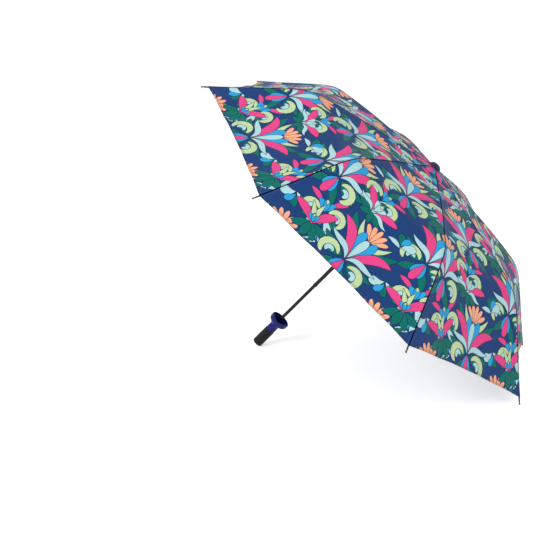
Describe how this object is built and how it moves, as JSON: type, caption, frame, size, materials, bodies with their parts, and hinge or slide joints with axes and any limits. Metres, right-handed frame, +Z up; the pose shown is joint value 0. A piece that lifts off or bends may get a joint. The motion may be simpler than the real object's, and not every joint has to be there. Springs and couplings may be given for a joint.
{
  "type": "folding umbrella",
  "caption": "Open compact umbrella with a printed canopy on jointed ribs, a telescopic shaft and a bottle-neck handle, lying on its handle and rim.",
  "frame": {"origin": "the point of the floor plane under the centre of the umbrella's box, as it lies open on its handle's end and its two lowest rib tips", "axes": "+Z up from the floor; +X along the floor from the handle's end towards the two tips that rest; +Y across, completing a right-handed frame. The shaft rises from the handle in the XZ plane, which is the umbrella's mirror plane."},
  "size_m": [0.6568, 0.8908, 0.6039],
  "materials": {
    "grip_rubber": "satin",
    "navy_plastic": "gloss",
    "black_tube": "satin",
    "collar_metal": "satin",
    "black_plastic": "satin",
    "cap_plastic": "gloss",
    "button_plastic": "satin",
    "steel_wire": "satin",
    "rib_steel": "satin",
    "rib_rod": "satin",
    "tip_metal": "satin",
    "canopy_fabric": "satin"
  },
  "bodies": {
    "handle": {"grip": "grip_rubber", "bottle_neck_cup": "navy_plastic", "lower_tube": "black_tube"},
    "middle_section": {"middle_tube": "black_tube", "middle_tube_collar": "collar_metal"},
    "upper_section": {"upper_tube": "black_tube", "upper_tube_collar": "collar_metal", "crown": "black_plastic", "crown_ring": "steel_wire", "crown_cap": "cap_plastic", "canopy_gore_1": "canopy_fabric", "canopy_gore_2": "canopy_fabric", "canopy_gore_3": "canopy_fabric", "canopy_gore_4": "canopy_fabric", "canopy_gore_5": "canopy_fabric", "canopy_gore_6": "canopy_fabric", "canopy_gore_7": "canopy_fabric", "canopy_gore_8": "canopy_fabric"},
    "runner": {"runner": "black_plastic"},
    "runner_button": {"runner_button": "button_plastic"},
    "top_rib_1": {"top_rib_1": "rib_steel"},
    "middle_rib_1": {"middle_rib_1": "rib_steel"},
    "outer_rib_1": {"outer_rib_1": "rib_rod", "rib_tip_1": "tip_metal"},
    "stretcher_1": {"stretcher_1": "rib_steel"},
    "top_rib_2": {"top_rib_2": "rib_steel"},
    "middle_rib_2": {"middle_rib_2": "rib_steel"},
    "outer_rib_2": {"outer_rib_2": "rib_rod", "rib_tip_2": "tip_metal"},
    "stretcher_2": {"stretcher_2": "rib_steel"},
    "top_rib_3": {"top_rib_3": "rib_steel"},
    "middle_rib_3": {"middle_rib_3": "rib_steel"},
    "outer_rib_3": {"outer_rib_3": "rib_rod", "rib_tip_3": "tip_metal"},
    "stretcher_3": {"stretcher_3": "rib_steel"},
    "top_rib_4": {"top_rib_4": "rib_steel"},
    "middle_rib_4": {"middle_rib_4": "rib_steel"},
    "outer_rib_4": {"outer_rib_4": "rib_rod", "rib_tip_4": "tip_metal"},
    "stretcher_4": {"stretcher_4": "rib_steel"},
    "top_rib_5": {"top_rib_5": "rib_steel"},
    "middle_rib_5": {"middle_rib_5": "rib_steel"},
    "outer_rib_5": {"outer_rib_5": "rib_rod", "rib_tip_5": "tip_metal"},
    "stretcher_5": {"stretcher_5": "rib_steel"},
    "top_rib_6": {"top_rib_6": "rib_steel"},
    "middle_rib_6": {"middle_rib_6": "rib_steel"},
    "outer_rib_6": {"outer_rib_6": "rib_rod", "rib_tip_6": "tip_metal"},
    "stretcher_6": {"stretcher_6": "rib_steel"},
    "top_rib_7": {"top_rib_7": "rib_steel"},
    "middle_rib_7": {"middle_rib_7": "rib_steel"},
    "outer_rib_7": {"outer_rib_7": "rib_rod", "rib_tip_7": "tip_metal"},
    "stretcher_7": {"stretcher_7": "rib_steel"},
    "top_rib_8": {"top_rib_8": "rib_steel"},
    "middle_rib_8": {"middle_rib_8": "rib_steel"},
    "outer_rib_8": {"outer_rib_8": "rib_rod", "rib_tip_8": "tip_metal"},
    "stretcher_8": {"stretcher_8": "rib_steel"}
  },
  "joints": [
    {"name": "lower_slide", "type": "slide", "parent": "handle", "child": "middle_section", "axis": [0.6766, 0, 0.7363], "range_m": [-0.1335, 0]},
    {"name": "upper_slide", "type": "slide", "parent": "middle_section", "child": "upper_section", "axis": [0.6766, 0, 0.7363], "range_m": [-0.1335, 0]},
    {"name": "rib_fold_1", "type": "hinge", "parent": "upper_section", "child": "top_rib_1", "pos_m": [0.12734, 0.00367, 0.42742], "axis": [-0.2818, 0.9239, 0.2589], "range_deg": [0, 80.8], "deforming": ["canopy_gore_1", "canopy_gore_2", "canopy_gore_3", "canopy_gore_4", "canopy_gore_5", "canopy_gore_6", "canopy_gore_7", "canopy_gore_8"]},
    {"name": "elbow_fold_1", "type": "hinge", "parent": "top_rib_1", "child": "middle_rib_1", "pos_m": [0.21635, 0.06336, 0.31132], "axis": [0.2818, -0.9239, -0.2589], "range_deg": [0, 180]},
    {"name": "knee_fold_1", "type": "hinge", "parent": "middle_rib_1", "child": "outer_rib_1", "pos_m": [0.29708, 0.11906, 0.20044], "axis": [-0.2818, 0.9239, 0.2589], "range_deg": [0, 151.9]},
    {"name": "stretcher_fold_1", "type": "hinge", "parent": "top_rib_1", "child": "stretcher_1", "pos_m": [0.17039, 0.03374, 0.36701], "axis": [0.2818, -0.9239, -0.2589], "range_deg": [0, 143.08]},
    {"name": "rib_fold_2", "type": "hinge", "parent": "upper_section", "child": "top_rib_2", "pos_m": [0.12351, 0.00887, 0.43094], "axis": [-0.6803, 0.3827, 0.6251], "range_deg": [0, 80.8]},
    {"name": "elbow_fold_2", "type": "hinge", "parent": "top_rib_2", "child": "middle_rib_2", "pos_m": [0.15037, 0.15296, 0.37195], "axis": [0.6803, -0.3827, -0.6251], "range_deg": [0, 180]},
    {"name": "knee_fold_2", "type": "hinge", "parent": "middle_rib_2", "child": "outer_rib_2", "pos_m": [0.1731, 0.28744, 0.31437], "axis": [-0.6803, 0.3827, 0.6251], "range_deg": [0, 151.9]},
    {"name": "stretcher_fold_2", "type": "hinge", "parent": "top_rib_2", "child": "stretcher_2", "pos_m": [0.13526, 0.08144, 0.39929], "axis": [0.6803, -0.3827, -0.6251], "range_deg": [0, 143.08]},
    {"name": "rib_fold_3", "type": "hinge", "parent": "upper_section", "child": "top_rib_3", "pos_m": [0.1181, 0.00887, 0.43591], "axis": [-0.6803, -0.3827, 0.6251], "range_deg": [0, 80.8]},
    {"name": "elbow_fold_3", "type": "hinge", "parent": "top_rib_3", "child": "middle_rib_3", "pos_m": [0.05706, 0.15296, 0.45769], "axis": [0.6803, 0.3827, -0.6251], "range_deg": [0, 180]},
    {"name": "knee_fold_3", "type": "hinge", "parent": "middle_rib_3", "child": "outer_rib_3", "pos_m": [-0.00224, 0.28744, 0.47549], "axis": [-0.6803, -0.3827, 0.6251], "range_deg": [0, 151.9]},
    {"name": "stretcher_fold_3", "type": "hinge", "parent": "top_rib_3", "child": "stretcher_3", "pos_m": [0.08557, 0.08144, 0.44494], "axis": [0.6803, 0.3827, -0.6251], "range_deg": [0, 143.08]},
    {"name": "rib_fold_4", "type": "hinge", "parent": "upper_section", "child": "top_rib_4", "pos_m": [0.11428, 0.00367, 0.43942], "axis": [-0.2818, -0.9239, 0.2589], "range_deg": [0, 80.8]},
    {"name": "elbow_fold_4", "type": "hinge", "parent": "top_rib_4", "child": "middle_rib_4", "pos_m": [-0.00892, 0.06336, 0.51832], "axis": [0.2818, 0.9239, -0.2589], "range_deg": [0, 180]},
    {"name": "knee_fold_4", "type": "hinge", "parent": "middle_rib_4", "child": "outer_rib_4", "pos_m": [-0.12622, 0.11906, 0.58941], "axis": [-0.2818, -0.9239, 0.2589], "range_deg": [0, 151.9]},
    {"name": "stretcher_fold_4", "type": "hinge", "parent": "top_rib_4", "child": "stretcher_4", "pos_m": [0.05044, 0.03374, 0.47722], "axis": [0.2818, 0.9239, -0.2589], "range_deg": [0, 143.08]},
    {"name": "rib_fold_5", "type": "hinge", "parent": "upper_section", "child": "top_rib_5", "pos_m": [0.11428, -0.00367, 0.43942], "axis": [0.2818, -0.9239, -0.2589], "range_deg": [0, 80.8]},
    {"name": "elbow_fold_5", "type": "hinge", "parent": "top_rib_5", "child": "middle_rib_5", "pos_m": [-0.00892, -0.06336, 0.51832], "axis": [-0.2818, 0.9239, 0.2589], "range_deg": [0, 180]},
    {"name": "knee_fold_5", "type": "hinge", "parent": "middle_rib_5", "child": "outer_rib_5", "pos_m": [-0.12622, -0.11906, 0.58941], "axis": [0.2818, -0.9239, -0.2589], "range_deg": [0, 151.9]},
    {"name": "stretcher_fold_5", "type": "hinge", "parent": "top_rib_5", "child": "stretcher_5", "pos_m": [0.05044, -0.03374, 0.47722], "axis": [-0.2818, 0.9239, 0.2589], "range_deg": [0, 143.08]},
    {"name": "rib_fold_6", "type": "hinge", "parent": "upper_section", "child": "top_rib_6", "pos_m": [0.1181, -0.00887, 0.43591], "axis": [0.6803, -0.3827, -0.6251], "range_deg": [0, 80.8]},
    {"name": "elbow_fold_6", "type": "hinge", "parent": "top_rib_6", "child": "middle_rib_6", "pos_m": [0.05706, -0.15296, 0.45769], "axis": [-0.6803, 0.3827, 0.6251], "range_deg": [0, 180]},
    {"name": "knee_fold_6", "type": "hinge", "parent": "middle_rib_6", "child": "outer_rib_6", "pos_m": [-0.00224, -0.28744, 0.47549], "axis": [0.6803, -0.3827, -0.6251], "range_deg": [0, 151.9]},
    {"name": "stretcher_fold_6", "type": "hinge", "parent": "top_rib_6", "child": "stretcher_6", "pos_m": [0.08557, -0.08144, 0.44494], "axis": [-0.6803, 0.3827, 0.6251], "range_deg": [0, 143.08]},
    {"name": "rib_fold_7", "type": "hinge", "parent": "upper_section", "child": "top_rib_7", "pos_m": [0.12351, -0.00887, 0.43094], "axis": [0.6803, 0.3827, -0.6251], "range_deg": [0, 80.8]},
    {"name": "elbow_fold_7", "type": "hinge", "parent": "top_rib_7", "child": "middle_rib_7", "pos_m": [0.15037, -0.15296, 0.37195], "axis": [-0.6803, -0.3827, 0.6251], "range_deg": [0, 180]},
    {"name": "knee_fold_7", "type": "hinge", "parent": "middle_rib_7", "child": "outer_rib_7", "pos_m": [0.1731, -0.28744, 0.31437], "axis": [0.6803, 0.3827, -0.6251], "range_deg": [0, 151.9]},
    {"name": "stretcher_fold_7", "type": "hinge", "parent": "top_rib_7", "child": "stretcher_7", "pos_m": [0.13526, -0.08144, 0.39929], "axis": [-0.6803, -0.3827, 0.6251], "range_deg": [0, 143.08]},
    {"name": "rib_fold_8", "type": "hinge", "parent": "upper_section", "child": "top_rib_8", "pos_m": [0.12734, -0.00367, 0.42742], "axis": [0.2818, 0.9239, -0.2589], "range_deg": [0, 80.8]},
    {"name": "elbow_fold_8", "type": "hinge", "parent": "top_rib_8", "child": "middle_rib_8", "pos_m": [0.21635, -0.06336, 0.31132], "axis": [-0.2818, -0.9239, 0.2589], "range_deg": [0, 180]},
    {"name": "knee_fold_8", "type": "hinge", "parent": "middle_rib_8", "child": "outer_rib_8", "pos_m": [0.29708, -0.11906, 0.20044], "axis": [0.2818, 0.9239, -0.2589], "range_deg": [0, 151.9]},
    {"name": "stretcher_fold_8", "type": "hinge", "parent": "top_rib_8", "child": "stretcher_8", "pos_m": [0.17039, -0.03374, 0.36701], "axis": [-0.2818, -0.9239, 0.2589], "range_deg": [0, 143.08]},
    {"name": "runner_slide", "type": "slide", "parent": "upper_section", "child": "runner", "axis": [-0.6766, 0, -0.7363], "range_m": [0, 0.11368]},
    {"name": "button_press", "type": "slide", "parent": "runner", "child": "runner_button", "axis": [0, 1, 0], "range_m": [0, 0.0012], "stiffness_N_per_m": 400}
  ],
  "couplings": [
    {"joint": "elbow_fold_1", "follows": "rib_fold_1", "ratio": 2.2277},
    {"joint": "knee_fold_1", "follows": "rib_fold_1", "ratio": 1.8799},
    {"joint": "stretcher_fold_1", "follows": "rib_fold_1", "ratio": 1.7708},
    {"joint": "rib_fold_2", "follows": "rib_fold_1", "ratio": 1},
    {"joint": "elbow_fold_2", "follows": "rib_fold_1", "ratio": 2.2277},
    {"joint": "knee_fold_2", "follows": "rib_fold_1", "ratio": 1.8799},
    {"joint": "stretcher_fold_2", "follows": "rib_fold_1", "ratio": 1.7708},
    {"joint": "rib_fold_3", "follows": "rib_fold_1", "ratio": 1},
    {"joint": "elbow_fold_3", "follows": "rib_fold_1", "ratio": 2.2277},
    {"joint": "knee_fold_3", "follows": "rib_fold_1", "ratio": 1.8799},
    {"joint": "stretcher_fold_3", "follows": "rib_fold_1", "ratio": 1.7708},
    {"joint": "rib_fold_4", "follows": "rib_fold_1", "ratio": 1},
    {"joint": "elbow_fold_4", "follows": "rib_fold_1", "ratio": 2.2277},
    {"joint": "knee_fold_4", "follows": "rib_fold_1", "ratio": 1.8799},
    {"joint": "stretcher_fold_4", "follows": "rib_fold_1", "ratio": 1.7708},
    {"joint": "rib_fold_5", "follows": "rib_fold_1", "ratio": 1},
    {"joint": "elbow_fold_5", "follows": "rib_fold_1", "ratio": 2.2277},
    {"joint": "knee_fold_5", "follows": "rib_fold_1", "ratio": 1.8799},
    {"joint": "stretcher_fold_5", "follows": "rib_fold_1", "ratio": 1.7708},
    {"joint": "rib_fold_6", "follows": "rib_fold_1", "ratio": 1},
    {"joint": "elbow_fold_6", "follows": "rib_fold_1", "ratio": 2.2277},
    {"joint": "knee_fold_6", "follows": "rib_fold_1", "ratio": 1.8799},
    {"joint": "stretcher_fold_6", "follows": "rib_fold_1", "ratio": 1.7708},
    {"joint": "rib_fold_7", "follows": "rib_fold_1", "ratio": 1},
    {"joint": "elbow_fold_7", "follows": "rib_fold_1", "ratio": 2.2277},
    {"joint": "knee_fold_7", "follows": "rib_fold_1", "ratio": 1.8799},
    {"joint": "stretcher_fold_7", "follows": "rib_fold_1", "ratio": 1.7708},
    {"joint": "rib_fold_8", "follows": "rib_fold_1", "ratio": 1},
    {"joint": "elbow_fold_8", "follows": "rib_fold_1", "ratio": 2.2277},
    {"joint": "knee_fold_8", "follows": "rib_fold_1", "ratio": 1.8799},
    {"joint": "stretcher_fold_8", "follows": "rib_fold_1", "ratio": 1.7708},
    {"joint": "runner_slide", "follows": "rib_fold_1", "m_per_rad": 0.080607}
  ]
}
